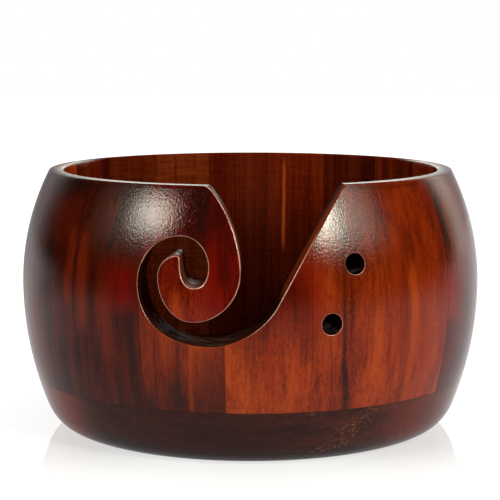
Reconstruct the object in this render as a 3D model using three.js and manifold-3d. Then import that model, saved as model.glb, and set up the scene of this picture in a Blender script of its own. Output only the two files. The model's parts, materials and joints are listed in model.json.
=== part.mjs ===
// Yarn bowl: a coopered and turned wooden bowl with a spiral yarn slot and two needle holes.
// Eighteen upright staves are glued edge to edge on a separate bottom disc, turned to a round
// belly, and the slot is sawn through the wall from the front. Millimetres, +Z up. The origin is the
// middle of the foot, the axis of the bowl is Z, and the front of the bowl, with the slot, faces -Y.
import * as THREE from 'three';
import { mergeVertices } from 'three/addons/utils/BufferGeometryUtils.js';
import Module from 'manifold-3d';

const wasm = await Module();
wasm.setup();

// Driving dimensions
const HEIGHT = 100;
const BELLY_RADIUS = 89;
const BELLY_HEIGHT = 56.1;
const UPPER_ARC = 94.76;          // profile radius from the belly up to the rim
const LOWER_ARC = 126.58;         // profile radius from the belly down to the turn-in
const LOWER_ARC_END = 0.375;      // slope in radians where the lower arc ends
const TURN_IN_ARC = 20;
const TURN_IN_END = 0.688;
const FOOT_ARC = 12;              // last small radius, down to the flat foot
const INNER_RADIUS = 72.7;        // the inside is bored straight
const FLOOR_HEIGHT = 10;          // inside bottom, above the foot
const FLOOR_FILLET = 10;
const SEAM_HEIGHT = 20.7;         // top of the bottom disc, where the staves stand on it
const GLUE_GAP = 0.3;

const STAVE_COUNT = 18;
const FIRST_JOINT = -5.85;        // degrees from the front, positive to the right
const STAVE_ANGLE = 360 / STAVE_COUNT;
const FACETS_PER_STAVE = 4;

// The slot is sawn almost straight back: its sides run to a point SAW_REACH behind the front plane,
// and it climbs a little towards the inside.
const FRONT = -BELLY_RADIUS;
const SAW_REACH = 300;
const SAW_CLIMB = Math.tan(THREE.MathUtils.degToRad(2));
const SAW_START = 8;
const SAW_DEPTH = 45;
const SLOT_FACETS = 6;            // per curve of the outline

const HOLE_RADIUS = 3.75;
const HOLES = [
  { angle: 24.7, height: 73.1 },
  { angle: 18.65, height: 52.5 },
];

// Colours of the lacquered boards
const DARK = '#4a1a10';
const RED = '#7d1c0c';
const ORANGE = '#93401b';
const BROWN = '#6b2c16';
const BASE = '#35160e';

const rad = THREE.MathUtils.degToRad;

// Booleans

function solidFrom(geometry) {
  const bare = geometry.clone();
  bare.deleteAttribute('normal');
  bare.deleteAttribute('uv');
  const merged = mergeVertices(bare, 1e-4);
  return new wasm.Manifold(new wasm.Mesh({
    numProp: 3,
    vertProperties: new Float32Array(merged.attributes.position.array),
    triVerts: new Uint32Array(merged.index.array),
  }));
}

function geometryFrom(solid) {
  const mesh = solid.getMesh();
  const geometry = new THREE.BufferGeometry();
  geometry.setAttribute('position', new THREE.BufferAttribute(mesh.vertProperties, 3));
  geometry.setIndex(new THREE.BufferAttribute(mesh.triVerts, 1));
  geometry.computeVertexNormals();
  return geometry;
}

// Turned profile

function arcPoints(centreR, centreZ, radius, from, to, steps) {
  const points = [];
  for (let i = 0; i <= steps; i += 1) {
    const slope = from + (to - from) * i / steps;
    points.push(new THREE.Vector2(centreR + radius * Math.cos(slope), centreZ + radius * Math.sin(slope)));
  }
  return points;
}

// The outside from the flat foot up to the rim. The slope is the angle of the outward normal above
// the horizontal, and every arc starts where the last one ends, with the same slope.
function outerProfile() {
  const rimSlope = Math.asin((HEIGHT - BELLY_HEIGHT) / UPPER_ARC);
  const lowerCentre = BELLY_RADIUS - LOWER_ARC;
  const turnR = lowerCentre + (LOWER_ARC - TURN_IN_ARC) * Math.cos(LOWER_ARC_END);
  const turnZ = BELLY_HEIGHT - (LOWER_ARC - TURN_IN_ARC) * Math.sin(LOWER_ARC_END);
  const footR = turnR + (TURN_IN_ARC - FOOT_ARC) * Math.cos(TURN_IN_END);
  return [
    ...arcPoints(footR, FOOT_ARC, FOOT_ARC, -Math.PI / 2, -TURN_IN_END, 4),
    ...arcPoints(turnR, turnZ, TURN_IN_ARC, -TURN_IN_END, -LOWER_ARC_END, 2).slice(1),
    ...arcPoints(lowerCentre, BELLY_HEIGHT, LOWER_ARC, -LOWER_ARC_END, 0, 6).slice(1),
    ...arcPoints(BELLY_RADIUS - UPPER_ARC, BELLY_HEIGHT, UPPER_ARC, 0, rimSlope, 8).slice(1),
  ];
}

// The whole turned bowl, before it is parted into boards.
function turnedBowl() {
  const outside = outerProfile();
  const floorR = INNER_RADIUS - FLOOR_FILLET;
  const fillet = arcPoints(floorR, FLOOR_HEIGHT + FLOOR_FILLET, FLOOR_FILLET, 0, -Math.PI / 2, 4);
  const profile = [
    new THREE.Vector2(0, 0),
    ...outside,
    new THREE.Vector2(INNER_RADIUS, HEIGHT),
    ...fillet,
    new THREE.Vector2(0, FLOOR_HEIGHT),
  ];
  const turned = new THREE.LatheGeometry(profile, STAVE_COUNT * FACETS_PER_STAVE);
  turned.rotateX(Math.PI / 2);
  turned.rotateZ(rad(FIRST_JOINT));
  return solidFrom(turned);
}

// Cutters

// The upright wedge of one stave: two planes through the glue joints on either side of it.
function staveWedge(index) {
  const reach = BELLY_RADIUS * 1.2;
  const middle = rad(FIRST_JOINT + (index + 0.5) * STAVE_ANGLE);
  const half = rad(STAVE_ANGLE / 2);
  const apex = GLUE_GAP / 2 / Math.sin(half);
  const shape = new THREE.Shape();
  shape.moveTo(0, apex);
  shape.lineTo(-reach * Math.sin(half), apex + reach * Math.cos(half));
  shape.lineTo(reach * Math.sin(half), apex + reach * Math.cos(half));
  const wedge = new THREE.ExtrudeGeometry(shape, { depth: HEIGHT, bevelEnabled: false });
  wedge.rotateZ(Math.PI + middle);
  wedge.translate(0, 0, SEAM_HEIGHT + GLUE_GAP / 2);
  return solidFrom(wedge);
}

// The slot as it is drawn on the front of the bowl: x to the right, y up from the foot. It starts at
// the left end of the mouth in the rim, goes down the outer edge of the hook and round it to the tip,
// turns back at the tip, goes round the pocket, then back along the outer side of the spiral and up
// the straight side of the mouth.
function slotOutline() {
  const slot = new THREE.Shape();
  const above = HEIGHT + 8;
  slot.moveTo(-22.9, above);
  slot.lineTo(-15.1, 99.6);
  slot.bezierCurveTo(-6.8, 90.8, -3.2, 80.2, -3.2, 71.1);
  slot.bezierCurveTo(-3.2, 60.4, -11.9, 53.2, -20.5, 53.2);
  slot.bezierCurveTo(-28.2, 53.2, -33.3, 61.3, -33.3, 68.5);
  slot.bezierCurveTo(-33.3, 72.6, -30.1, 76.3, -25.9, 76.3);
  slot.bezierCurveTo(-24.8, 76.3, -24.7, 75.4, -24.7, 73.5);
  slot.bezierCurveTo(-24.6, 69, -23.4, 65.5, -19.9, 65.5);
  slot.bezierCurveTo(-16.8, 65.5, -14.8, 68.1, -14.8, 72.4);
  slot.bezierCurveTo(-14.8, 77.5, -18.6, 82.5, -24.4, 82.5);
  slot.bezierCurveTo(-33.4, 82.5, -40.5, 75.1, -40.5, 66.3);
  slot.bezierCurveTo(-40.5, 53.1, -30.3, 45.1, -14.9, 45.1);
  slot.bezierCurveTo(-3.6, 45.1, 5.8, 53.1, 9.1, 59);
  slot.bezierCurveTo(14.9, 69.4, 24.6, 86.7, 34.4, 99.1);
  slot.lineTo(41.4, above);
  return slot;
}

// The saw's path through the wall. The outline stands in the front plane, and every point of it runs
// back along the saw's direction there, from SAW_START in front of that plane to SAW_DEPTH behind it.
function slotCutter() {
  const cutter = new THREE.ExtrudeGeometry(slotOutline(), {
    depth: SAW_DEPTH + SAW_START,
    bevelEnabled: false,
    curveSegments: SLOT_FACETS,
  });
  const position = cutter.attributes.position;
  for (let i = 0; i < position.count; i += 1) {
    const back = SAW_DEPTH - position.getZ(i);
    const narrow = (SAW_REACH - back) / SAW_REACH;
    position.setXYZ(i, position.getX(i) * narrow, FRONT + back, position.getY(i) + SAW_CLIMB * back);
  }
  return solidFrom(cutter);
}

// A drill that enters the wall squarely to the outside.
function needleDrill(hole) {
  const arc = hole.height > BELLY_HEIGHT ? UPPER_ARC : LOWER_ARC;
  const slope = Math.asin((hole.height - BELLY_HEIGHT) / arc);
  const radius = BELLY_RADIUS - arc + arc * Math.cos(slope);
  const angle = rad(hole.angle);
  const outward = new THREE.Vector3(
    Math.cos(slope) * Math.sin(angle),
    -Math.cos(slope) * Math.cos(angle),
    Math.sin(slope),
  );
  const mouth = new THREE.Vector3(radius * Math.sin(angle), -radius * Math.cos(angle), hole.height);
  const drill = new THREE.CylinderGeometry(HOLE_RADIUS, HOLE_RADIUS, 60, 20);
  drill.applyQuaternion(new THREE.Quaternion().setFromUnitVectors(new THREE.Vector3(0, 1, 0), outward));
  drill.translate(mouth.x, mouth.y, mouth.z);
  return solidFrom(drill);
}

// Boards

const bowl = new THREE.Group();
const turned = turnedBowl();
const slot = slotCutter();
const drills = HOLES.map(needleDrill);

function addBoard(name, solid, colour) {
  const material = new THREE.MeshStandardMaterial({ color: colour, roughness: 0.25, metalness: 0 });
  const board = new THREE.Mesh(geometryFrom(solid), material);
  board.name = name;
  bowl.add(board);
}

// The bodies that a cut stave falls into, the upper one first.
function upperFirst(solid) {
  const pieces = solid.decompose();
  return pieces.sort((a, b) => topOf(b) - topOf(a));
}

function topOf(solid) {
  return solid.boundingBox().max[2];
}

function baseDisc() {
  const disc = new THREE.CylinderGeometry(BELLY_RADIUS * 1.1, BELLY_RADIUS * 1.1, SEAM_HEIGHT - GLUE_GAP / 2, 8);
  disc.rotateX(Math.PI / 2);
  disc.translate(0, 0, (SEAM_HEIGHT - GLUE_GAP / 2) / 2);
  return turned.intersect(solidFrom(disc));
}

addBoard('base_disc', baseDisc(), BASE);

// Stave 0 is just right of the first joint, in the middle of the slot. The others follow to the right,
// round the back and up to the one with the curl of the hook, which is the last.
const MIDDLE_STAVE = 0;
const HOLE_STAVE = 1;
const HOOK_STAVE = STAVE_COUNT - 1;
const WALL_COLOURS = [
  ORANGE, DARK, BROWN, ORANGE, BROWN, DARK, ORANGE, BROWN, ORANGE, BROWN, BROWN, ORANGE, BROWN, DARK, BROWN,
];

for (let index = 0; index < STAVE_COUNT; index += 1) {
  const board = turned.intersect(staveWedge(index)).subtract(slot);
  if (index === MIDDLE_STAVE) {
    const [strip, lower] = upperFirst(board);
    addBoard('hook_edge_strip', strip, RED);
    addBoard('slot_stave_lower', lower, ORANGE);
  } else if (index === HOLE_STAVE) {
    const drilled = drills.reduce((rest, drill) => rest.subtract(drill), board);
    addBoard('needle_hole_stave', drilled, ORANGE);
  } else if (index === HOOK_STAVE) {
    const [upper, lower] = upperFirst(board);
    addBoard('hook_stave_upper', upper, RED);
    addBoard('hook_stave_lower', lower, BROWN);
  } else {
    const number = index - HOLE_STAVE;
    addBoard(`wall_stave_${String(number).padStart(2, '0')}`, board, WALL_COLOURS[number - 1]);
  }
}

export default bowl;
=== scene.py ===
"""Yarn bowl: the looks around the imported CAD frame. Metres, +Z up, the slot faces -Y.

Every board of the bowl is made again with its round shape, rounded edges and lacquered wood. The
boards are cut from one turned body by the same glue joints, seam, slot and holes as the CAD model.
"""

import json
import math
from functools import reduce
from types import SimpleNamespace

import bmesh
import bpy
import numpy as np
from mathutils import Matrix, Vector


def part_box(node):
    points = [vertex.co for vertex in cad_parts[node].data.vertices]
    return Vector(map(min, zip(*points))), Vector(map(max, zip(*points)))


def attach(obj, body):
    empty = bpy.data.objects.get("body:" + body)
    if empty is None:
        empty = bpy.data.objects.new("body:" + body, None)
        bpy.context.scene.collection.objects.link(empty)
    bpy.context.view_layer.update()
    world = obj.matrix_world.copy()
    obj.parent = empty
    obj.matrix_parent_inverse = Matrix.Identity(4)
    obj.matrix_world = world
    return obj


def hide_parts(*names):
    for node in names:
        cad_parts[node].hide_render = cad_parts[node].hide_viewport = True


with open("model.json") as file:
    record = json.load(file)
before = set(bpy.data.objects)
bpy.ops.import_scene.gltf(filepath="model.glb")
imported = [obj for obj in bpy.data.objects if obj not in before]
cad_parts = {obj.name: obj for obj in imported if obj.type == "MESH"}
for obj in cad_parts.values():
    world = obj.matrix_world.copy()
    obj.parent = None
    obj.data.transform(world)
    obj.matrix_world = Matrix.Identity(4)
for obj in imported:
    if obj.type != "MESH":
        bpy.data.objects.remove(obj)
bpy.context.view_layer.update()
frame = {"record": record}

MM = 0.001

# ---------------------------------------------------------------- shape, in metres
# The driving sizes are read from the frame: rim height, belly radius and the seam under the staves.
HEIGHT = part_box("wall_stave_08")[1].z
BELLY_RADIUS = 0.5 * (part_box("wall_stave_03")[1].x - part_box("wall_stave_12")[0].x)
SEAM_HEIGHT = 0.5 * (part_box("base_disc")[1].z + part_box("wall_stave_08")[0].z)

BELLY_HEIGHT = 56.1 * MM
UPPER_ARC = 94.76 * MM          # profile radius from the belly up to the rim
LOWER_ARC = 126.58 * MM         # profile radius from the belly down to the turn-in
LOWER_ARC_END = 0.375           # slope in radians where the lower arc ends
TURN_IN_ARC = 20 * MM
TURN_IN_END = 0.688
FOOT_ARC = 12 * MM
INNER_RADIUS = 72.7 * MM
FLOOR_HEIGHT = 10 * MM
FLOOR_FILLET = 10 * MM
RIM_LIP = 0.7 * MM              # rounding of both edges of the rim

STAVE_COUNT = 18
STAVE_ANGLE = math.tau / STAVE_COUNT
FIRST_JOINT = math.radians(-5.85)
JOINT_GAP = 0.03 * MM           # the hairline of a glue joint

FRONT = -89 * MM                # the plane in which the slot is drawn
SAW_REACH = 300 * MM            # how far behind that plane the slot's two sides would meet
SAW_CLIMB = math.tan(math.radians(2))   # how much the slot rises on its way in
SLOT_LIP = 0.85 * MM            # rounding of the slot's edges

HOLE_RADIUS = 3.75 * MM
HOLE_LIP = 0.4 * MM
HOLES = [(24.7, 73.1), (18.65, 52.5)]   # degrees from the front, height in mm

# How finely the arcs, the turned body, the holes and the slot's curves are made.
SHORT_ARC_STEPS, CORNER_STEPS, SIDE_STEPS, WALL_STEPS = 6, 12, 32, 40
BODY_SEGMENTS, HOLE_SEGMENTS = 360, 96
CURVE_POINTS, MOUTH_POINTS = 60, 30
OUTLINE_SPACING = 0.35          # mm between the points of the slot's outline
FLARE_ANGLES = (76, 64, 52, 40, 28, 15, 0)  # degrees round the rounding of a cut's edge
FLARE_BEYOND, FLARE_CLEAR = 0.4, 0.12   # what a cutter widens and rises past the surface, in lip radii

RAY_START = 8 * MM              # how far outside the wall a cutter's rays begin
RAY_LIMIT = 60 * MM             # how far along a ray the wall is looked for
RAY_HALVINGS = 40
SLOT_REACH = (6 * MM, 60 * MM)  # how far a cutter goes before and after the beginnings of its rays
HOLE_REACH = (2 * MM, 45 * MM)
WEDGE_REACH = 120 * MM
WEDGE_TOP = 1.2                 # in bowl heights
BLOCK_HALF = (120 * MM, 130 * MM)
BLOCK_BOTTOM = -20 * MM

NORMAL_SPACING = 0.4 * MM       # between the places where the profile's normal is sampled
NORMAL_CHUNK = 400              # how many vertices are compared with the samples at a time
LEAST_AREA = 1e-12              # what a face without area counts for in the mean of a wall's normals
WALL_BEND = 0.75                # cosine of the largest turn over which a cut wall is shaded smooth
TINY = 1e-20                    # keeps a division by nothing away

# What made a face. It is kept as the face's material index until the boards are finished.
TAGS = range(5)
TURNED, CUT, CUT_EDGE, CUT_FLARE, PARTED = TAGS


# ---------------------------------------------------------------- turned profile

def arc(centre_r, centre_z, radius, start, end, steps):
    """Points of a profile arc. A slope is the angle of the outward normal above the horizontal."""
    slopes = [start + (end - start) * i / steps for i in range(steps + 1)]
    return [(centre_r + radius * math.cos(s), centre_z + radius * math.sin(s)) for s in slopes]


def outer_radius(z):
    """Radius of the outside at a height above the turn-in, for numpy arrays."""
    above = np.sqrt(np.maximum(UPPER_ARC**2 - (z - BELLY_HEIGHT)**2, 0)) + BELLY_RADIUS - UPPER_ARC
    below = np.sqrt(np.maximum(LOWER_ARC**2 - (z - BELLY_HEIGHT)**2, 0)) + BELLY_RADIUS - LOWER_ARC
    return np.where(z > BELLY_HEIGHT, above, below)


def inner_radius(z):
    """Radius of the inside at a height above its floor, for numpy arrays."""
    return np.full_like(z, INNER_RADIUS)


def bowl_profile():
    """The closed half section, from the middle of the foot round the outside to the inside floor."""
    lower_centre = BELLY_RADIUS - LOWER_ARC
    turn_r = lower_centre + (LOWER_ARC - TURN_IN_ARC) * math.cos(LOWER_ARC_END)
    turn_z = BELLY_HEIGHT - (LOWER_ARC - TURN_IN_ARC) * math.sin(LOWER_ARC_END)
    foot_r = turn_r + (TURN_IN_ARC - FOOT_ARC) * math.cos(TURN_IN_END)
    upper_centre = BELLY_RADIUS - UPPER_ARC
    # the lip circle touches the upper arc from inside and the rim from below
    lip_z = HEIGHT - RIM_LIP
    lip_slope = math.asin((lip_z - BELLY_HEIGHT) / (UPPER_ARC - RIM_LIP))
    lip_r = upper_centre + (UPPER_ARC - RIM_LIP) * math.cos(lip_slope)
    quarter = math.pi / 2
    points = [(0.0, 0.0), (foot_r * 0.5, 0.0)]
    points += arc(foot_r, FOOT_ARC, FOOT_ARC, -quarter, -TURN_IN_END, CORNER_STEPS)
    points += arc(turn_r, turn_z, TURN_IN_ARC, -TURN_IN_END, -LOWER_ARC_END, SHORT_ARC_STEPS)[1:]
    points += arc(lower_centre, BELLY_HEIGHT, LOWER_ARC, -LOWER_ARC_END, 0, SIDE_STEPS)[1:]
    points += arc(upper_centre, BELLY_HEIGHT, UPPER_ARC, 0, lip_slope, SIDE_STEPS)[1:]
    points += arc(lip_r, lip_z, RIM_LIP, lip_slope, quarter, SHORT_ARC_STEPS)[1:]
    points += arc(INNER_RADIUS + RIM_LIP, lip_z, RIM_LIP, quarter, 2 * quarter, SHORT_ARC_STEPS)
    wall_foot = FLOOR_HEIGHT + FLOOR_FILLET
    wall = [wall_foot + (lip_z - wall_foot) * i / WALL_STEPS for i in range(WALL_STEPS - 1, 0, -1)]
    points += [(INNER_RADIUS, z) for z in wall]
    points += arc(INNER_RADIUS - FLOOR_FILLET, wall_foot, FLOOR_FILLET, 0, -quarter, CORNER_STEPS)
    points += [(INNER_RADIUS * 0.5, FLOOR_HEIGHT), (0.0, FLOOR_HEIGHT)]
    return points


# ---------------------------------------------------------------- mesh helpers

def new_object(name, vertices, faces, made_by=()):
    """made_by has one tag for each face of an object that takes part in a cut."""
    mesh = bpy.data.meshes.new(name)
    mesh.from_pydata([tuple(v) for v in vertices], [], faces)
    if made_by:
        for _ in TAGS:
            mesh.materials.append(None)
        mesh.polygons.foreach_set("material_index", np.array(made_by, np.int32))
    mesh.update()
    obj = bpy.data.objects.new(name, mesh)
    bpy.context.scene.collection.objects.link(obj)
    return obj


def copied(obj):
    """A copy of an object, with a mesh of its own."""
    copy = obj.copy()
    copy.data = obj.data.copy()
    bpy.context.scene.collection.objects.link(copy)
    return copy


def spun(name, profile, segments):
    """A solid of revolution of a profile that starts and ends on the axis."""
    ring = profile[1:-1]
    count = len(ring)
    vertices = [(0, 0, profile[0][1])]
    for s in range(segments):
        angle = math.tau * s / segments
        vertices += [(r * math.sin(angle), -r * math.cos(angle), z) for r, z in ring]
    vertices.append((0, 0, profile[-1][1]))
    last = len(vertices) - 1
    faces = []
    for s in range(segments):
        a = 1 + s * count
        b = 1 + (s + 1) % segments * count
        faces.append((0, b, a))
        faces += [(a + i, b + i, b + i + 1, a + i + 1) for i in range(count - 1)]
        faces.append((a + count - 1, b + count - 1, last))
    return new_object(name, vertices, faces, [TURNED] * len(faces))


def lofted(name, rings, step_made_by):
    """A closed solid through rings of equally many points, with a flat cap at both ends.

    step_made_by has a tag for each step from ring to ring."""
    count = len(rings[0])
    vertices = [p for ring in rings for p in ring]
    faces, made_by = [], []
    for k in range(len(rings) - 1):
        a, b = k * count, (k + 1) * count
        faces += [(a + i, a + (i + 1) % count, b + (i + 1) % count, b + i) for i in range(count)]
        made_by += [step_made_by[k]] * count
    faces.append(tuple(reversed(range(count))))
    faces.append(tuple((len(rings) - 1) * count + i for i in range(count)))
    obj = new_object(name, vertices, faces, made_by + [step_made_by[0], step_made_by[-1]])
    solid = bmesh.new()
    solid.from_mesh(obj.data)
    bmesh.ops.triangulate(solid, faces=[f for f in solid.faces if len(f.verts) > 4])
    bmesh.ops.recalc_face_normals(solid, faces=solid.faces)
    solid.to_mesh(obj.data)
    solid.free()
    return obj


def boolean(obj, cutter, operation):
    """Cuts the object with the cutter, or keeps only what they share."""
    modifier = obj.modifiers.new("cut", "BOOLEAN")
    modifier.operation = operation
    modifier.solver = "MANIFOLD"
    modifier.object = cutter
    depsgraph = bpy.context.evaluated_depsgraph_get()
    mesh = bpy.data.meshes.new_from_object(obj.evaluated_get(depsgraph))
    obj.modifiers.clear()
    obj.data = mesh
    if not mesh.polygons:
        raise RuntimeError(f"nothing is left of {obj.name}")


def discard(obj):
    bpy.data.objects.remove(obj)


def unit(vectors):
    """The directions of the vectors, each one long."""
    return vectors / np.maximum(np.linalg.norm(vectors, axis=1), TINY)[:, None]


# ---------------------------------------------------------------- slot and holes

def bezier(start, first, second, end, count):
    """Points of a cubic curve, without its end."""
    t = np.linspace(0, 1, count, endpoint=False)[:, None]
    start, first, second, end = (np.array(p, float) for p in (start, first, second, end))
    return (1 - t)**3 * start + 3 * t * (1 - t)**2 * first + 3 * t * t * (1 - t) * second + t**3 * end


# The slot as it is drawn on the front of the bowl, in mm: x to the right, y up from the foot. The
# curves follow each other from the left end of the mouth round the hook, its tip and the pocket, and
# back along the outer side of the spiral to the right end of the mouth.
SLOT_START = (-13.6, 98.0)
SLOT_CURVES = [
    ((-6.4, 89.8), (-3.2, 80.0), (-3.2, 71.1)),
    ((-3.2, 60.4), (-11.9, 53.2), (-20.5, 53.2)),
    ((-28.2, 53.2), (-33.3, 61.3), (-33.3, 68.5)),
    ((-33.3, 72.6), (-30.1, 76.3), (-26.1, 76.3)),
    ((-24.9, 76.3), (-24.7, 75.2), (-24.7, 73.5)),
    ((-24.6, 69.0), (-23.4, 65.5), (-19.9, 65.5)),
    ((-16.8, 65.5), (-14.8, 68.1), (-14.8, 72.4)),
    ((-14.8, 77.5), (-18.6, 82.5), (-24.4, 82.5)),
    ((-33.4, 82.5), (-40.5, 75.1), (-40.5, 66.3)),
    ((-40.5, 53.1), (-30.3, 45.1), (-14.9, 45.1)),
    ((-3.6, 45.1), (5.8, 53.1), (9.1, 59.0)),
    ((14.7, 69.1), (23.6, 84.9), (32.6, 96.8)),
]
MOUTH_TOP = 108.0


def slot_outline():
    """Evenly spaced points of the outline in metres, and their directions into the wood."""
    pieces = []
    here = SLOT_START
    for first, second, end in SLOT_CURVES:
        pieces.append(bezier(here, first, second, end, CURVE_POINTS))
        here = end
    # the mouth's corners are rounded into the rim, and the outline closes above it
    rim = HEIGHT / MM
    right = bezier(here, (34.4, 99.2), (35.6, rim - 0.05), (38.2, rim + 0.35), MOUTH_POINTS)
    closing = [(38.2, rim + 0.35), (40.5, rim + 1.2), (40.5, MOUTH_TOP),
               (-22.0, MOUTH_TOP), (-22.0, rim + 1.2)]
    left = bezier((-18.6, rim + 0.35), (-16.6, rim - 0.05), (-15.2, 99.7), SLOT_START, MOUTH_POINTS)
    path = np.concatenate(pieces + [right, np.array(closing), left, np.array([SLOT_START])])
    length = np.concatenate([[0], np.cumsum(np.linalg.norm(np.diff(path, axis=0), axis=1))])
    even = np.linspace(0, length[-1], int(length[-1] / OUTLINE_SPACING), endpoint=False)
    points = np.stack([np.interp(even, length, path[:, k]) for k in range(2)], 1)
    ahead = unit(np.roll(points, -2, axis=0) - np.roll(points, 2, axis=0))
    # the way round is counterclockwise, so the wood is on its right
    into_wood = np.stack([ahead[:, 1], -ahead[:, 0]], 1)
    return points * MM, into_wood


def pierced(origins, directions, radius_at, depth):
    """The point of each ray at that depth past the wall surface of that radius, from outside."""
    near = np.zeros(len(origins))
    far = np.full(len(origins), RAY_LIMIT)
    for _ in range(RAY_HALVINGS):
        middle = 0.5 * (near + far)
        p = origins + directions * middle[:, None]
        outside = np.hypot(p[:, 0], p[:, 1]) > radius_at(p[:, 2])
        near = np.where(outside, middle, near)
        far = np.where(outside, far, middle)
    return origins + directions * (0.5 * (near + far) + depth)[:, None]


def flared_cutter(name, rays, lip, before, after):
    """A cutter whose wall is rounded over, by the lip radius, into both surfaces.

    rays(offset) gives the origins and directions of the cutter's rays when its outline is moved that
    far into the wood. before and after say how far the cutter goes from the origins."""
    outer, inner = [], []
    for angle in map(math.radians, FLARE_ANGLES):
        depth = lip * (1 - math.sin(angle))
        origins, directions = rays(lip * (1 - math.cos(angle)))
        outer.append(pierced(origins, directions, outer_radius, depth))
        inner.append(pierced(origins, directions, inner_radius, -depth))
    # past the surface the cutter keeps widening a little, so that it leaves the wood cleanly
    widest = lip * (1 - math.cos(math.radians(FLARE_ANGLES[0])))
    origins, directions = rays(widest + FLARE_BEYOND * lip)
    clear = FLARE_CLEAR * lip
    over = pierced(origins, directions, outer_radius, -clear)
    under = pierced(origins, directions, inner_radius, clear)
    first, last = origins - directions * before, origins + directions * after
    tags = [CUT] + [CUT_FLARE] * 2 + [CUT_EDGE] * 2 + [CUT] * 3
    return lofted(name, [first, over] + outer + inner[::-1] + [under, last], tags + [CUT] + tags[::-1])


def slot_cutter():
    """The saw's way, drawn on the front plane and narrowing towards the back of the bowl."""
    points, into_wood = slot_outline()

    def rays(offset):
        moved = points + into_wood * offset
        same = np.ones(len(moved))
        origins = np.stack([moved[:, 0], same * FRONT, moved[:, 1]], 1)
        ahead = np.stack([-moved[:, 0] / SAW_REACH, same, same * SAW_CLIMB], 1)
        return origins - ahead * RAY_START, ahead

    return flared_cutter("slot_cutter", rays, SLOT_LIP, *SLOT_REACH)


def drill(angle_deg, height_mm):
    """The cutter of a needle hole, square to the outside of the wall."""
    angle = math.radians(angle_deg)
    height = height_mm * MM
    arc_radius = UPPER_ARC if height > BELLY_HEIGHT else LOWER_ARC
    slope = math.asin((height - BELLY_HEIGHT) / arc_radius)
    radius = float(outer_radius(np.array([height]))[0])
    around = Vector((math.sin(angle), -math.cos(angle), 0))
    outward = around * math.cos(slope) + Vector((0, 0, math.sin(slope)))
    mouth = around * radius + Vector((0, 0, height))
    side = outward.cross(Vector((0, 0, 1))).normalized()
    up = side.cross(outward)
    turns = np.linspace(0, math.tau, HOLE_SEGMENTS, endpoint=False)
    circle = np.cos(turns)[:, None] * np.array(side) + np.sin(turns)[:, None] * np.array(up)

    def rays(offset):
        origins = np.array(mouth + outward * RAY_START) + circle * (HOLE_RADIUS + offset)
        return origins, np.repeat(-np.array(outward)[None], len(circle), axis=0)

    return flared_cutter("drill", rays, HOLE_LIP, *HOLE_REACH)


# ---------------------------------------------------------------- boards

def stave_middle(index):
    """The direction of a stave's middle, in radians from the front."""
    return FIRST_JOINT + (index + 0.5) * STAVE_ANGLE


def wedge(index):
    """The space between the two glue joints of a stave, above the seam."""
    middle = stave_middle(index)
    half = STAVE_ANGLE / 2
    radial = Vector((math.sin(middle), -math.cos(middle), 0))
    across = Vector((math.cos(middle), math.sin(middle), 0))
    tip = radial * (JOINT_GAP / 2 / math.sin(half))
    left = tip + (radial * math.cos(half) - across * math.sin(half)) * WEDGE_REACH
    right = tip + (radial * math.cos(half) + across * math.sin(half)) * WEDGE_REACH
    levels = [Vector((0, 0, z)) for z in (SEAM_HEIGHT + JOINT_GAP / 2, HEIGHT * WEDGE_TOP)]
    return lofted("wedge", [[p + level for p in (tip, left, right)] for level in levels], [PARTED])


def below_seam():
    """A block that isn't square, so that the diagonal of its top misses the turned body's vertices."""
    half_x, half_y = BLOCK_HALF
    corners = [(-half_x, -half_y), (half_x, -half_y), (half_x, half_y), (-half_x, half_y)]
    rings = [[(x, y, z) for x, y in corners] for z in (BLOCK_BOTTOM, SEAM_HEIGHT - JOINT_GAP / 2)]
    return lofted("below_seam", rings, [PARTED])


def bodies_of(mesh):
    """The vertex indices of each connected body of a mesh."""
    whole = bmesh.new()
    whole.from_mesh(mesh)
    left = set(whole.verts)
    bodies = []
    while left:
        seed = left.pop()
        body, border = {seed}, [seed]
        while border:
            for edge in border.pop().link_edges:
                reached = left.intersection(edge.verts)
                left -= reached
                body |= reached
                border += reached
        bodies.append({v.index for v in body})
    whole.free()
    return bodies


def loose_pieces(obj):
    """Splits an object into one object for each connected body, highest first."""
    pieces = []
    for body in bodies_of(obj.data):
        piece = copied(obj)
        kept = bmesh.new()
        kept.from_mesh(piece.data)
        bmesh.ops.delete(kept, geom=[v for v in kept.verts if v.index not in body], context="VERTS")
        kept.to_mesh(piece.data)
        kept.free()
        pieces.append(piece)
    discard(obj)
    return sorted(pieces, key=lambda p: -max(v.co.z for v in p.data.vertices))


def cut_boards():
    """All the boards by name, cut from one turned body."""
    turned = spun("turned", bowl_profile(), BODY_SEGMENTS)
    for cutter in [slot_cutter()] + [drill(*hole) for hole in HOLES]:
        boolean(turned, cutter, "DIFFERENCE")
        discard(cutter)

    def part(name, space):
        board = copied(turned)
        board.name = name
        boolean(board, space, "INTERSECT")
        discard(space)
        return board

    boards = {"base_disc": part("base", below_seam())}
    for index in range(STAVE_COUNT):
        board = part("stave", wedge(index))
        if index == 0:
            boards["hook_edge_strip"], boards["slot_stave_lower"] = loose_pieces(board)
        elif index == 1:
            boards["needle_hole_stave"] = board
        elif index == STAVE_COUNT - 1:
            boards["hook_stave_upper"], boards["hook_stave_lower"] = loose_pieces(board)
        else:
            boards[f"wall_stave_{index - 1:02d}"] = board
    discard(turned)
    return boards


# ---------------------------------------------------------------- shading normals

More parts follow.
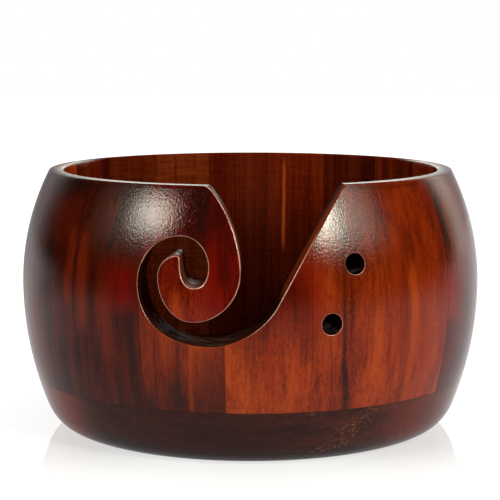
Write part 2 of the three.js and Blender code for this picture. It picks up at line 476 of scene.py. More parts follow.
def profile_normals():
    """Points along the profile with their outward normals, for smooth shading of turned faces."""
    points = np.array(bowl_profile())
    steps = np.diff(points, axis=0)
    normals = unit(np.stack([steps[:, 1], -steps[:, 0]], 1))
    corner = normals.copy()
    corner[1:] += normals[:-1]
    corner = unit(np.vstack([corner, normals[-1:]]))
    fine_points, fine_normals = [], []
    for i, length in enumerate(np.linalg.norm(steps, axis=1)):
        count = max(2, int(length / NORMAL_SPACING))
        t = np.linspace(0, 1, count, endpoint=False)[:, None]
        fine_points.append(points[i] + steps[i] * t)
        fine_normals.append(corner[i] * (1 - t) + corner[i + 1] * t)
    return np.concatenate(fine_points), np.concatenate(fine_normals)


def turned_normals(places, samples):
    """The turned surface's normals at the places, from the nearest samples of the profile."""
    points, normals = samples
    radius = np.hypot(places[:, 0], places[:, 1])
    section = np.stack([radius, places[:, 2]], 1)
    nearest = np.concatenate([
        np.argmin(((chunk[:, None] - points[None])**2).sum(2), axis=1)
        for chunk in np.array_split(section, max(1, len(section) // NORMAL_CHUNK))
    ])
    sideways, upward = normals[nearest].T
    x, y = places[:, :2].T / np.maximum(radius, TINY)
    return unit(np.stack([x * sideways, y * sideways, upward], 1))


def read(items, name, width=1, kind=float):
    """One property of all the items of a mesh, as a numpy array."""
    values = np.zeros(len(items) * width, kind)
    items.foreach_get(name, values)
    return values.reshape(-1, width) if width > 1 else values


def smooth(obj, samples):
    """Turned faces are shaded with the true normals of the profile, cut faces as smooth walls."""
    mesh = obj.data
    made = read(mesh.polygons, "material_index", kind=np.int32)
    face_of = np.repeat(np.arange(len(made)), read(mesh.polygons, "loop_total", kind=np.int32))
    corners = read(mesh.loops, "vertex_index", kind=np.int32)
    flat = read(mesh.polygons, "normal", 3)[face_of]
    area = read(mesh.polygons, "area")[face_of]
    true = turned_normals(read(mesh.vertices, "co", 3), samples)

    turned = (made == TURNED)[face_of]
    result = flat.copy()
    result[turned] = true[corners[turned]]
    wall = np.isin(made, (CUT, CUT_EDGE, CUT_FLARE))[face_of]
    mean = np.zeros_like(true)
    np.add.at(mean, corners[wall], ((area + LEAST_AREA)[:, None] * flat)[wall])
    on_turned = np.zeros(len(true), bool)
    on_turned[corners[turned]] = True
    goal = np.where(on_turned[:, None], true, unit(mean))[corners]
    gentle = wall & ((goal * flat).sum(1) > WALL_BEND)
    result[gentle] = goal[gentle]
    mesh.polygons.foreach_set("use_smooth", np.ones(len(made), bool))
    mesh.normals_split_custom_set([tuple(v) for v in unit(result)])
    for name, tag in (("cut", CUT), ("edge", CUT_EDGE)):
        mark = mesh.attributes.new(name, "FLOAT", "FACE")
        mark.data.foreach_set("value", (made == tag).astype(np.float32))


boards = cut_boards()
samples = profile_normals()
for board in boards.values():
    smooth(board, samples)


# ---------------------------------------------------------------- node helpers

class Graph:
    """Short calls for building a node tree. Values and sockets can be mixed freely."""

    def __init__(self, tree):
        self.tree = tree
        self.tree.nodes.clear()

    def node(self, kind, **settings):
        node = self.tree.nodes.new(kind)
        for key, value in settings.items():
            setattr(node, key, value)
        return node

    def put(self, socket, value):
        if isinstance(value, bpy.types.NodeSocket):
            self.tree.links.new(value, socket)
        else:
            socket.default_value = value

    def fed(self, kind, *values, **settings):
        """The first output of a new node whose first inputs take the values."""
        node = self.node(kind, **settings)
        for socket, value in zip(node.inputs, values):
            self.put(socket, value)
        return node.outputs[0]

    def math(self, operation, *values, clamp=False):
        return self.fed("ShaderNodeMath", *values, operation=operation, use_clamp=clamp)

    def add(self, *values):
        return reduce(lambda a, b: self.math("ADD", a, b), values)

    def mul(self, *values):
        return reduce(lambda a, b: self.math("MULTIPLY", a, b), values)

    def abs(self, value):
        return self.math("ABSOLUTE", value)

    def ramp(self, value, low, high, out_low=0.0, out_high=1.0, smooth=True):
        shape = "SMOOTHSTEP" if smooth else "LINEAR"
        values = (value, low, high, out_low, out_high)
        return self.fed("ShaderNodeMapRange", *values, interpolation_type=shape)

    def split(self, vector):
        node = self.node("ShaderNodeSeparateXYZ")
        self.put(node.inputs[0], vector)
        return node.outputs

    def join(self, x, y, z):
        return self.fed("ShaderNodeCombineXYZ", x, y, z)

    def distance(self, x, y):
        return self.math("SQRT", self.add(self.mul(x, x), self.mul(y, y)))

    def bearing(self, x, y):
        """Degrees round the axis: 0 is towards the camera, right is positive."""
        return self.mul(self.math("ARCTAN2", x, self.mul(y, -1)), 180 / math.pi)

    def noise(self, vector, scale=1.0, detail=2.0, roughness=0.5):
        node = self.node("ShaderNodeTexNoise")
        self.put(node.inputs["Vector"], vector)
        self.put(node.inputs["Scale"], scale)
        self.put(node.inputs["Detail"], detail)
        self.put(node.inputs["Roughness"], roughness)
        return node.outputs[0]

    def mix(self, factor, a, b, blend="MIX"):
        node = self.node("ShaderNodeMix", data_type="RGBA", blend_type=blend)
        self.put(node.inputs[0], factor)
        self.put(node.inputs[6], a if isinstance(a, bpy.types.NodeSocket) else (*a, 1))
        self.put(node.inputs[7], b if isinstance(b, bpy.types.NodeSocket) else (*b, 1))
        return node.outputs[2]

    def bump(self, distance, height):
        """A normal bent by the height, which is in units of that distance."""
        node = self.node("ShaderNodeBump")
        node.inputs["Strength"].default_value = 1.0
        node.inputs["Distance"].default_value = distance
        self.put(node.inputs["Height"], height)
        return node.outputs[0]


# ---------------------------------------------------------------- lacquered wood

# What the darkest, the middling and the lightest grain make of a board's colour.
DARKER = (0.235, 0.17, 0.16)
MIDDLING = (0.645, 0.645, 0.645)
LIGHTER = (1.00, 1.34, 1.34)
STAIN_AND_SHADE = (0.012, 0.004, 0.002)   # dark stain in pores, glue lines and marks, and on the sawn walls; also painted shade under the rim
GLOW = (0.60, 0.085, 0.006)     # unstained orange wood
WEAR_SHEEN = (0.80, 0.40, 0.31)       # pale cut edges: thin lacquer worn along an edge, and a painted highlight for the gloss line on the rounded lip
FLECK = (0.26, 0.075, 0.025)    # a pale dash in the bottom disc

# Lengths in mm.
WALL_IN, WALL_OUT = 76, 80      # radii where the inside's look ends and where the outside's begins
TOOL_MARK = 13                  # how long a mark of the turning tool is
SAW_MARK, SAW_PITCH = 7, 2.2    # how long a mark of the saw is, and how far from the next
SAW_SLANT = 0.4
PEEL = 0.72                     # the size of the lacquer's orange peel
LACQUER_RISE, GRAIN_RISE = 0.062, 0.012     # how far the lacquer and the wood rise and fall
EDGE_FADE = 8                   # over what height the pale edges of wear and painted highlight end, and over what degrees they change

JOINT_FROM, JOINT_FULL = 9.78, 9.95     # degrees off a board's middle where its glue line begins
SEED_ACROSS, SEED_ALONG = 7.31, 3.17    # how far apart the grain of two boards is taken

# What a board looks like where BOARD_LOOKS doesn't say otherwise. Heights are from the foot.
PLAIN_BOARD = dict(
    # the colour of the upper end, and the heights where it begins to show and is reached
    top=None, top_from=40, top_to=90,
    # how strong each kind of grain is
    streak=0.6, band=0.55, fibre=0.6, mottle=0.7, blotch=0.2,
    lines=0.6,                  # how strong the marks of the turning tool are, inside
    flecks=0.0,                 # how strong the short pale dashes are
    lying=False,                # whether the grain lies along x and doesn't stand along z
    glue=0.35,                  # how dark the glue lines beside the joints are
    # how pale the cut edges are at the board's left and right, as wear and painted highlight, and up to
    # what height
    worn=(0.6, 0.6), worn_top=110,
    # the colour of the sawn walls near the outside, their gloss, and the height where it begins
    sawn=(STAIN_AND_SHADE, 0.5, 0),
    # Each mark is a stained line, or a wide band of painted shade under the rim: degrees from the front
    # at its lower and upper end, the two heights, half of its width in degrees, how strong it is, how
    # soft its sides are, its colour.
    marks=())


class Wood(Graph):
    """The node graph of one board in mm, where x runs across the board, y into the bowl and z up.

    turn is the direction of the board's middle, and seed makes its grain differ from the others'."""

    def __init__(self, tree, turn, seed, lying):
        super().__init__(tree)
        self.turn = turn
        self.seed = seed
        self.place = self.node("ShaderNodeTexCoord").outputs["Object"]
        mapping = self.node("ShaderNodeMapping")
        self.put(mapping.inputs["Vector"], self.place)
        mapping.inputs["Rotation"].default_value = (0, 0, -turn)
        mapping.inputs["Scale"].default_value = (1 / MM, 1 / MM, 1 / MM)
        self.x, self.y, self.z = self.split(mapping.outputs[0])
        self.across, self.along = (self.z, self.x) if lying else (self.x, self.z)
        self.radius = self.distance(self.x, self.y)
        self.degrees = self.bearing(self.x, self.y)
        self.inside = self.ramp(self.radius, WALL_OUT, WALL_IN)
        tooled = self.join(self.mul(self.x, 1 / TOOL_MARK), self.mul(self.y, 1 / TOOL_MARK), self.z)
        self.ridges = self.noise(tooled, detail=3)

    def grain(self, width, length, shift, detail=2.0, roughness=0.55):
        """Noise of that width and length, between -0.5 and 0.5. Another shift is another noise."""
        at = self.join(self.add(self.mul(self.across, 1 / width), self.seed * SEED_ACROSS + shift),
                       self.mul(self.y, 1 / width),
                       self.add(self.mul(self.along, 1 / length), self.seed * SEED_ALONG))
        return self.add(self.noise(at, detail=detail, roughness=roughness), -0.5)


def grain_tone(g, look, fine):
    """How light the grain is, from 0 to 1."""
    layers = [
        (g.grain(7, 200, 3, 1), look.band * 2.2),
        (g.grain(2.0, 90, 5, 3), look.streak * 1.8),
        (fine, look.fibre * 1.3),
        (g.grain(0.75, 1.5, 21, 2, 0.6), look.mottle * 1.2),
        (g.grain(16, 60, 2), look.blotch * 1.6),
        (g.mul(g.add(g.ridges, -0.5), g.inside), look.lines),
    ]
    return g.math("ADD", g.add(*(g.mul(layer, share) for layer, share in layers)), 0.5, clamp=True)


def grained(g, look, tone):
    """The board's colour with its grain, and painted shade darkening it deep inside the bowl."""
    base = g.mix(g.ramp(g.z, look.top_from, look.top_to), look.colour, look.top or look.colour)
    shade = g.mix(g.ramp(tone, 0.0, 0.5, smooth=False), DARKER, MIDDLING)
    shade = g.mix(g.ramp(tone, 0.5, 1.0, smooth=False), shade, LIGHTER)
    paint = g.mix(1.0, base, shade, "MULTIPLY")
    # painted shade: the inside darkens towards the bottom
    return g.mix(g.mul(g.inside, g.ramp(g.z, 92, 60, 0.0, 0.55)), paint, (0, 0, 0))


def flecked(g, paint, strength, outer):
    """Short pale dashes in patches, on the right side."""
    right = g.mul(g.ramp(g.degrees, 0, 22), g.ramp(g.degrees, 165, 125))
    patch = g.mul(g.ramp(g.grain(9, 30, 40, 1), -0.08, 0.12), right)
    dash = g.ramp(g.grain(0.7, 3.0, 44, 2), 0.04, 0.16)
    return g.mix(g.mul(patch, dash, strength, outer), paint, FLECK)


def marked(g, paint, mark, outer):
    """One of the stained lines, or painted shade bands under the rim, that PLAIN_BOARD describes."""
    low_at, high_at, low, high, half, strength, soft, stain = mark
    ends = [(at - math.degrees(g.turn) + 180) % 360 - 180 for at in (low_at, high_at)]
    centre = g.ramp(g.z, low, high, *ends, smooth=False)
    drift = g.mul(g.grain(60, 14, low_at + 30, 1), min(2.0, 2.0 * half))
    off = g.abs(g.add(g.math("SUBTRACT", g.degrees, centre), drift))
    within = g.ramp(off, half * (1 + soft), half * max(0.0, 1 - soft))
    upright = g.mul(g.ramp(g.z, low - 4, low + 4), g.ramp(g.z, high + 5, high - 5))
    uneven = g.ramp(g.grain(2.5, 25, low_at + 50), -0.25, 0.1, 0.6, 1.0)
    return g.mix(g.mul(within, upright, strength, uneven, outer), paint, stain)


def glued(g, look, paint):
    """Glue lines beside the upright joints, and along the seam with the bottom disc."""
    seam = g.ramp(g.abs(g.add(g.z, -SEAM_HEIGHT / MM)), 0.55, 0.1)
    joint = g.ramp(g.abs(g.degrees), JOINT_FROM, JOINT_FULL, 0.0, 0.0 if look.lying else look.glue)
    return g.mix(g.math("MAXIMUM", g.mul(seam, 0.35), joint), paint, STAIN_AND_SHADE)


def sawn_rim_shade_wear_and_sheen(g, look, paint, wall, edge):
    """Stain on the sawn walls, painted shade in a band under the rim's top edge, and pale cut edges:
    thin lacquer worn there, with a painted highlight.
    """
    colour, _, low = look.sawn
    shown = g.mul(g.ramp(g.radius, 74, 81), g.ramp(g.z, low, low + 6))
    paint = g.mix(g.mul(wall, 0.95), paint, g.mix(shown, STAIN_AND_SHADE, colour))
    # painted shade: a dark band along the top of the outside, just under the rim
    rim = g.mul(g.ramp(g.z, 97.0, 98.6), g.ramp(g.radius, 78, 80))
    paint = g.mix(g.mul(rim, 0.7), paint, STAIN_AND_SHADE)
    # pale cut edges: partly wear, partly a painted highlight for the lip's gloss line
    sides = g.ramp(g.degrees, -EDGE_FADE, EDGE_FADE, *look.worn)
    edge_wear_sheen = g.mul(g.ramp(g.grain(4, 7, 61), -0.3, 0.2, 0.35, 1.0), sides)
    edge_wear_sheen = g.mul(edge_wear_sheen, g.ramp(g.z, look.worn_top, look.worn_top - EDGE_FADE))
    return g.mix(g.mul(edge, edge_wear_sheen), paint, WEAR_SHEEN)


def saw_marks(g):
    """Furrows across the sawn walls, from 0 to 1."""
    slanted = g.add(g.y, g.mul(g.x, SAW_SLANT))
    at = g.join(g.mul(g.x, 1 / SAW_MARK), g.mul(slanted, 1 / SAW_PITCH), g.mul(g.z, 1 / SAW_MARK))
    return g.noise(at, detail=3)


def outer_side(g):
    """1 on the outside of the bottom disc, and 0 on the floor and the wall inside."""
    past_wall, below_floor = g.ramp(g.radius, 73, 74), g.ramp(g.z, 9, 8)
    return g.mul(g.ramp(g.radius, 60, 68), g.math("MAXIMUM", past_wall, below_floor))


def lacquer_height(g, fine, pore, kerf, wall):
    """The unevenness of the lacquer: orange peel, tool marks inside, grain, pores and saw marks."""
    peel = g.noise(g.place, scale=1 / (PEEL * MM), detail=2, roughness=0.55)
    tooled = g.mul(g.ridges, g.ramp(g.radius, WALL_IN, WALL_OUT, 2.0, 0.3))
    return g.add(peel, tooled, g.mul(fine, 0.5), g.mul(pore, -0.15), g.mul(kerf, wall, 3.0))


def lacquered(g, look, kerf, wall):
    """How much lacquer there is: less on the rim at the back and on the sawn walls."""
    world_y = g.split(g.place)[1]
    dull = g.mul(g.ramp(g.z, 98.9, 99.3), g.ramp(world_y, 25 * MM, 43 * MM))
    gloss = look.sawn[1]
    # the saw's furrows hold less of it than what stands between them
    matt = g.mul(wall, g.ramp(kerf, 0.43, 0.57, 1.0 - 0.15 * gloss, 1.0 - gloss))
    return g.math("SUBTRACT", 1.0, g.math("MAXIMUM", dull, matt))


def wood(name, turn, seed, look):
    """Lacquered wood of one board."""
    material = bpy.data.materials.new(name)
    material.use_nodes = True
    g = Wood(material.node_tree, turn, seed, look.lying)
    fine = g.grain(0.8, 14, 9, 3, 0.7)
    pore = g.ramp(g.grain(0.5, 5, 13, 1), 0.12, 0.24)
    tone = grain_tone(g, look, fine)
    wall = g.node("ShaderNodeAttribute", attribute_name="cut").outputs["Fac"]
    edge = g.node("ShaderNodeAttribute", attribute_name="edge").outputs["Fac"]
    kerf = saw_marks(g)
    # the flecks and marks of the bottom disc don't show inside
    outer = outer_side(g) if look.lying else 1.0

    paint = grained(g, look, tone)
    if look.flecks:
        paint = flecked(g, paint, look.flecks, outer)
    paint = g.mix(g.mul(pore, 0.35), paint, STAIN_AND_SHADE)
    for mark in look.marks:
        paint = marked(g, paint, mark, outer)
    paint = glued(g, look, paint)
    paint = sawn_rim_shade_wear_and_sheen(g, look, paint, wall, edge)

    shader = g.node("ShaderNodeBsdfPrincipled")
    g.put(shader.inputs["Base Color"], paint)
    g.put(shader.inputs["Roughness"], g.ramp(tone, 0.0, 1.0, 0.5, 0.36, smooth=False))
    shader.inputs["Specular IOR Level"].default_value = 0.0
    g.put(shader.inputs["Coat Weight"], lacquered(g, look, kerf, wall))
    shader.inputs["Coat Roughness"].default_value = 0.09
    shader.inputs["Coat IOR"].default_value = 1.5
    g.put(shader.inputs["Normal"], g.bump(GRAIN_RISE * MM, g.add(fine, g.mul(pore, -0.6))))
    uneven = lacquer_height(g, fine, pore, kerf, wall)
    g.put(shader.inputs["Coat Normal"], g.bump(LACQUER_RISE * MM, uneven))
    g.put(g.node("ShaderNodeOutputMaterial").inputs["Surface"], shader.outputs[0])
    return material


# The colour of each kind of board, and what is particular to single boards.
SLOT_COLOURS = {
    "stave_wood_orange": (0.44, 0.042, 0.004),
    "stave_wood_red": (0.26, 0.008, 0.002),
    "stave_wood_brown": (0.17, 0.015, 0.002),
    "stave_wood_dark": (0.08, 0.006, 0.001),
    "base_wood": (0.075, 0.009, 0.001),
}
BOARD_LOOKS = {
    "slot_stave_lower": dict(
        colour=(0.50, 0.052, 0.004), top=(0.155, 0.007, 0.001), top_from=36, top_to=64,
        worn=(0.05, 0.9), sawn=((0.15, 0.020, 0.004), 0.3, 60),
        marks=[(14.2, 14.2, 46, 84, 2.6, 0.6, 0.9, (0.24, 0.014, 0.002)),
               (4.2, 4.4, 18, 50, 0.9, 0.45, 0.7, (0.28, 0.018, 0.002)),
               (-1.0, -1.0, 31, 42, 0.10, 0.6, 0.6, STAIN_AND_SHADE),
               (8.2, 8.2, 26, 32, 0.10, 0.6, 0.6, STAIN_AND_SHADE),
               (11.5, 11.0, 18, 44, 1.4, 0.3, 0.9, (0.28, 0.018, 0.002))]),
    "needle_hole_stave": dict(
        colour=(0.44, 0.043, 0.004), top=(0.190, 0.015, 0.002), top_from=48, top_to=90,
        worn=(0.9, 0.7), worn_top=86, glue=0.15, sawn=((0.18, 0.026, 0.005), 0.2, 75),
        marks=[(14.4, 14.4, 50, 76, 2.2, 0.7, 0.9, (0.22, 0.012, 0.002)),
               (23.9, 22.0, 18, 38, 0.85, 0.85, 0.5, STAIN_AND_SHADE),
               (22.0, 21.5, 36, 60, 0.45, 0.7, 0.8, STAIN_AND_SHADE),
               (21.6, 22.4, 60, 98, 0.6, 0.5, 0.9, STAIN_AND_SHADE),
               (19.6, 18.5, 18, 48, 0.12, 0.8, 0.6, STAIN_AND_SHADE),
               (31.0, 30.0, 24, 56, 1.6, 0.3, 0.9, GLOW)]),
    "wall_stave_01": dict(
        colour=(0.43, 0.042, 0.004), top=(0.25, 0.020, 0.002), streak=0.45, fibre=0.45, mottle=0.5,
        glue=0.15, worn_top=86, sawn=((0.16, 0.028, 0.009), 0.3, 75),
        marks=[(37.2, 37.0, 44, 80, 1.3, 0.35, 0.8, (0.20, 0.013, 0.002)),
               (41.2, 41.0, 18, 70, 1.2, 0.30, 0.8, GLOW),
               (46.5, 46.0, 18, 66, 1.6, 0.35, 0.8, (0.26, 0.018, 0.002)),
               (53.4, 53.4, 30, 64, 1.4, 0.45, 0.9, (0.20, 0.008, 0.001)),
               (52.6, 53.2, 66, 96, 1.0, 0.5, 0.9, (0.08, 0.006, 0.001))]),
    "wall_stave_02": dict(
        colour=(0.130, 0.007, 0.001), top=(0.180, 0.013, 0.001),
        marks=[(56.5, 56.5, 48, 66, 3.2, 0.6, 0.9, (0.32, 0.014, 0.002)),
               (56.0, 56.5, 74, 98, 1.6, 0.8, 0.7, STAIN_AND_SHADE)]),
    "hook_edge_strip": dict(
        colour=(0.165, 0.004, 0.001), worn=(0.9, 0.9), glue=0.1, streak=1.0, mottle=1.0,
        sawn=((0.12, 0.035, 0.015), 1.0, 0),
        marks=[(-5.2, -5.2, 66, 100, 1.1, 0.6, 0.9, (0.03, 0.002, 0.001)),
               (-3.4, -3.2, 44, 74, 0.4, 0.5, 0.8, (0.06, 0.003, 0.001))]),
    "hook_stave_upper": dict(
        colour=(0.27, 0.016, 0.002), top=(0.155, 0.004, 0.001), top_from=50, top_to=84,
        worn=(0.7, 0.9), glue=0.1, streak=1.1, mottle=1.3, sawn=((0.12, 0.035, 0.015), 1.0, 0),
        marks=[(-6.0, -6.0, 46, 100, 4.0, 0.8, 0.9, (0.18, 0.004, 0.001)),
               # painted shade under the rim
               (-17.0, -17.0, 96, 100, 9.0, 0.5, 0.4, STAIN_AND_SHADE),
               (-6.6, -6.6, 66, 100, 1.3, 0.65, 0.9, (0.03, 0.002, 0.001)),
               (-9.0, -9.0, 84, 100, 5.0, 0.8, 0.6, (0.03, 0.002, 0.001)),
               (-14.5, -14.5, 82, 100, 3.0, 0.6, 0.8, (0.03, 0.003, 0.001)),
               (-11.0, -11.5, 74, 98, 1.8, 0.65, 0.8, STAIN_AND_SHADE),
               (-16.5, -17.0, 52, 62, 1.2, 0.35, 0.8, GLOW)]),
    "hook_stave_lower": dict(
        colour=(0.13, 0.012, 0.002), top=(0.35, 0.033, 0.003), top_from=22, top_to=44, worn=(0.1, 0.05),
        marks=[(-22.6, -22.4, 20, 46, 0.16, 0.6, 0.6, STAIN_AND_SHADE),
               (-17.0, -16.6, 20, 48, 0.5, 0.65, 0.6, STAIN_AND_SHADE),
               (-17.2, -16.8, 20, 34, 1.2, 0.6, 0.5, (0.035, 0.008, 0.003)),
               (-14.2, -13.8, 20, 50, 0.5, 0.25, 0.8, GLOW),
               (-9.5, -9.2, 20, 42, 3.2, 0.45, 0.4, (0.10, 0.010, 0.002)),
               (-24.6, -24.6, 18, 25, 1.4, 0.75, 0.6, STAIN_AND_SHADE)]),
    "wall_stave_15": dict(
        colour=(0.130, 0.011, 0.002), top=(0.095, 0.008, 0.001), top_from=44, top_to=60,
        worn=(0.5, 0.4),
        marks=[(-43.0, -43.0, 48, 82, 1.8, 0.7, 0.9, (0.24, 0.020, 0.002)),
               (-31.0, -31.0, 56, 72, 4.5, 0.9, 0.9, (0.17, 0.004, 0.001)),
               (-36.0, -36.0, 38, 62, 2.0, 0.5, 0.9, (0.22, 0.018, 0.002)),
               # painted shade under the rim
               (-36.0, -36.0, 95, 100, 12.0, 0.7, 0.3, STAIN_AND_SHADE),
               (-40.0, -40.0, 74, 98, 3.0, 0.5, 0.7, (0.04, 0.008, 0.003)),
               (-35.0, -32.0, 76, 99, 1.1, 0.8, 0.6, STAIN_AND_SHADE),
               (-45.5, -43.5, 72, 95, 0.16, 0.8, 0.6, STAIN_AND_SHADE),
               (-27.6, -29.0, 20, 55, 1.2, 0.7, 0.5, STAIN_AND_SHADE),
               (-40.2, -37.0, 26, 48, 0.9, 0.6, 0.7, STAIN_AND_SHADE),
               (-46.0, -44.4, 22, 43, 0.7, 0.6, 0.7, STAIN_AND_SHADE),
               (-33.0, -33.0, 18, 36, 1.0, 0.5, 0.7, STAIN_AND_SHADE)]),
    "wall_stave_14": dict(
        colour=(0.14, 0.010, 0.001), top=(0.075, 0.006, 0.001), top_from=50, top_to=72,
        marks=[(-54.0, -54.0, 76, 94, 6.0, 0.7, 0.8, (0.10, 0.007, 0.001)),
               (-48.0, -47.6, 56, 82, 1.4, 0.7, 0.9, (0.20, 0.016, 0.002)),
               # painted shade under the rim
               (-56.0, -56.0, 95, 100, 12.0, 0.8, 0.3, STAIN_AND_SHADE),
               (-57.5, -57.5, 40, 80, 2.0, 0.6, 0.8, STAIN_AND_SHADE),
               (-46.6, -46.6, 20, 42, 0.6, 0.6, 0.7, STAIN_AND_SHADE),
               (-52.5, -50.5, 18, 42, 2.0, 0.6, 0.6, STAIN_AND_SHADE)]),
    "wall_stave_13": dict(colour=(0.27, 0.012, 0.001), top=(0.11, 0.004, 0.001), top_from=35, top_to=90),
    "wall_stave_04": dict(colour=(0.27, 0.024, 0.003)),
    "wall_stave_05": dict(
        colour=(0.155, 0.014, 0.002),
        marks=[(131.5, 131.5, 20, 99, 0.7, 0.5, 0.9, (0.36, 0.040, 0.005)),
               (126.0, 126.0, 20, 99, 0.6, 0.4, 0.9, (0.32, 0.036, 0.005))]),
    "wall_stave_06": dict(colour=(0.115, 0.010, 0.002)),
    "wall_stave_07": dict(
        colour=(0.19, 0.015, 0.002),
        marks=[(168.5, 168.5, 60, 96, 0.5, 0.6, 0.7, (0.50, 0.085, 0.010))]),
    "wall_stave_08": dict(colour=(0.13, 0.010, 0.001)),
    "wall_stave_09": dict(colour=(0.19, 0.024, 0.005), lines=1.1),
    "wall_stave_10": dict(colour=(0.125, 0.013, 0.002), lines=1.1),
    "wall_stave_11": dict(colour=(0.13, 0.010, 0.002)),
    "base_disc": dict(
        lying=True, streak=0.8, band=0.7, fibre=0.9, flecks=0.7,
        marks=[(-75, -75, -8, 24, 24, 0.9, 0.4, (0.25, 0.020, 0.002)),
               (60, 60, -8, 24, 22, 0.85, 0.5, (0.14, 0.013, 0.002)),
               (-14, -14, -8, 24, 22, 0.5, 0.5, (0.035, 0.004, 0.001))]),
}

SLOTS = {part["node"]: part["material_slot"] for part in frame["record"]["subparts"]}
STAVE_INDEX = {"hook_edge_strip": 0, "slot_stave_lower": 0, "needle_hole_stave": 1,
               "hook_stave_upper": 17, "hook_stave_lower": 17, "base_disc": 18}
STAVE_INDEX.update({f"wall_stave_{i - 1:02d}": i for i in range(2, 17)})


def finish_board(name, board):
    """Gives a board its wood and puts it in the place of its CAD node."""
    index = STAVE_INDEX[name]
    look = {**PLAIN_BOARD, "colour": SLOT_COLOURS[SLOTS[name]], **BOARD_LOOKS.get(name, {})}
    turn = 0.0 if look["lying"] else stave_middle(index)
    board.name = name + "_wood"
    board.data.polygons.foreach_set("material_index", np.zeros(len(board.data.polygons), np.int32))
    board.data.materials.clear()
    board.data.materials.append(wood(board.name, turn, index + 1, SimpleNamespace(**look)))
    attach(board, "root")
    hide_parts(name)


for name, board in boards.items():
    finish_board(name, board)


# ---------------------------------------------------------------- studio

FLOOR_HALF = 3.0                # half of the floor's width, in metres
FLOOR_DROP = 0.1 * MM           # keeps the floor clear of the foot
# The soft boxes either side of the camera and two narrow ones behind. Each has its bearings and its
# heights in degrees, as low end, high end and the softness of each, and then its strength.
SOFT_BOXES = [
    ((-66, -47, 7, 4), (24, 37, 6, 4), 14.5),
    ((-84, -50, 14, 6), (16, 38, 8, 6), 0.7),
    ((35, 45, 4, 8), (25, 41, 10, 8), 44.0),
    ((40, 69, 4, 13), (18, 44, 8, 5), 3.8),
    ((126, 141, 4, 6), (-10, 40, 5, 20), 1.0),
    ((124, 139, 4, 8), (14, 40, 8, 20), 0.95),
]
WARM_WHITE = (1.0, 1.0, 0.84)
CAMERA_PLACE = (0, -0.66858, 0.156215)
CAMERA_TILT = 0.1320            # radians below level
CAMERA_LENS = 123.2
CAMERA_SHIFT = (-0.0007, -0.0006)


def floor_sheet(g, around, away):
    """What the camera sees: a white sheet with a faint mirror image round the foot."""
    pale = g.node("ShaderNodeBsdfPrincipled")
    pale.inputs["Base Color"].default_value = (0.35, 0.35, 0.35, 1)
    pale.inputs["Roughness"].default_value = 0.8
    pale.inputs["Specular IOR Level"].default_value = 0.0
    pale.inputs["Emission Color"].default_value = (1, 1, 1, 1)
    pale.inputs["Emission Strength"].default_value = 0.92
    mirror = g.node("ShaderNodeBsdfGlossy")
    mirror.inputs["Roughness"].default_value = 0.0
    fading = g.ramp(away, 0.080, 0.128, 0.28, 0.08, smooth=False)
    fading = g.mul(fading, g.ramp(away, 0.12, 0.22, 1.0, 0.0))
    strength = g.mul(fading, g.ramp(g.abs(around), 15, 60, 0.8, 1.35))
    return g.fed("ShaderNodeMixShader", strength, pale.outputs[0], mirror.outputs[0])


def floor_glow(g, around, away, diffuse):
    """What the bowl mirrors: dim in front, fading with distance, and bright at the back."""
    behind = g.ramp(g.abs(around), 95, 128)
    left = g.ramp(around, -158, -138, 0.5, 0.85)
    right = g.ramp(around, 170, 180, 0.85, 0.4)
    level = g.mul(
        g.ramp(g.abs(around), 50, 140, 0.30, 0.74),
        g.ramp(around, 0, 60, 1.0, 1.25),
        g.ramp(away, 0.09, 0.16, 1.3, 1.0),
        g.math("MAXIMUM", g.ramp(away, 0.2, 1.0, 1.0, 0.1), behind),
        g.math("MINIMUM", left, right))
    lit = g.ramp(g.abs(around), 20, 80, 0.42, 0.95)
    seen = g.node("ShaderNodeEmission")
    g.put(seen.inputs["Strength"], g.math("MAXIMUM", level, g.mul(diffuse, lit)))
    return seen.outputs[0]


def floor():
    """The floor, which the camera sees as a sheet and the bowl as a glow."""
    half = FLOOR_HALF
    corners = [(-half, -half, 0), (half, -half, 0), (half, half, 0), (-half, half, 0)]
    obj = new_object("floor", corners, [(0, 1, 2, 3)])
    obj.location.z = -FLOOR_DROP
    material = bpy.data.materials.new("floor")
    material.use_nodes = True
    g = Graph(material.node_tree)
    path = g.node("ShaderNodeLightPath").outputs
    x, y, _ = g.split(g.node("ShaderNodeTexCoord").outputs["Object"])
    around, away = g.bearing(x, y), g.distance(x, y)
    glow = floor_glow(g, around, away, path["Is Diffuse Ray"])
    mix = g.fed("ShaderNodeMixShader", path["Is Camera Ray"], glow, floor_sheet(g, around, away))
    g.put(g.node("ShaderNodeOutputMaterial").inputs["Surface"], mix)
    obj.data.materials.append(material)


def window(g, value, low, high, soft_low, soft_high):
    """1 between low and high, with soft ends."""
    rise = g.ramp(value, low - soft_low, low + soft_low)
    return g.mul(rise, g.ramp(value, high + soft_high, high - soft_high))


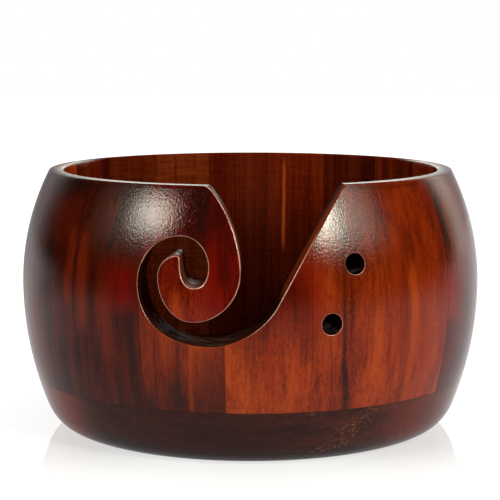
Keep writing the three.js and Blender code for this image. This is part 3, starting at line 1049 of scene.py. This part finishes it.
def studio_world():
    """Soft boxes either side of the camera, bright strips behind, and a dark room in front."""
    world = bpy.data.worlds.new("studio")
    bpy.context.scene.world = world
    world.use_nodes = True
    g = Graph(world.node_tree)
    x, y, z = g.split(g.node("ShaderNodeTexCoord").outputs["Generated"])
    azimuth = g.bearing(x, y)
    height = g.mul(g.math("ARCSINE", z), 180 / math.pi)

    boxes = [g.mul(window(g, azimuth, *around), window(g, height, *upward), strength)
             for around, upward, strength in SOFT_BOXES]
    far = g.mul(g.ramp(g.abs(azimuth), 173.2, 175.4), window(g, height, 4, 13, 2, 2), 1.9)
    warm = g.add(*boxes, far)
    # the wall behind is dimmer in its middle, and brighter higher up
    left = g.ramp(azimuth, -160, -140, 0.26, 0.46)
    right = g.ramp(azimuth, 172, 180, 0.46, 0.26)
    back = g.mul(g.ramp(g.abs(azimuth), 118, 150), g.ramp(height, 60, 15))
    plain = g.mul(back, g.math("MINIMUM", left, right), g.ramp(height, 5, 35, 0.9, 1.9))
    plain = g.add(plain, g.mul(g.ramp(height, 55, 85), 0.3))
    path = g.node("ShaderNodeLightPath").outputs
    plain = g.add(plain, g.add(g.mul(path["Is Diffuse Ray"], 0.25), 0.010))
    studio = g.mix(1.0, g.join(warm, warm, warm), WARM_WHITE, "MULTIPLY")
    studio = g.mix(1.0, studio, g.join(plain, plain, plain), "ADD")
    white = g.math("MAXIMUM", path["Is Camera Ray"], path["Is Singular Ray"])
    background = g.node("ShaderNodeBackground")
    g.put(background.inputs["Color"], g.mix(white, studio, (1, 1, 1)))
    g.put(g.node("ShaderNodeOutputWorld").inputs["Surface"], background.outputs[0])


def camera():
    data = bpy.data.cameras.new("camera")
    data.sensor_width = 36
    data.lens = CAMERA_LENS
    data.shift_x, data.shift_y = CAMERA_SHIFT
    data.clip_end = 20
    obj = bpy.data.objects.new("camera", data)
    obj.location = CAMERA_PLACE
    obj.rotation_euler = (math.radians(90) - CAMERA_TILT, 0, 0)
    bpy.context.scene.collection.objects.link(obj)
    bpy.context.scene.camera = obj


floor()
studio_world()
camera()
bpy.context.scene.view_settings.view_transform = "Standard"
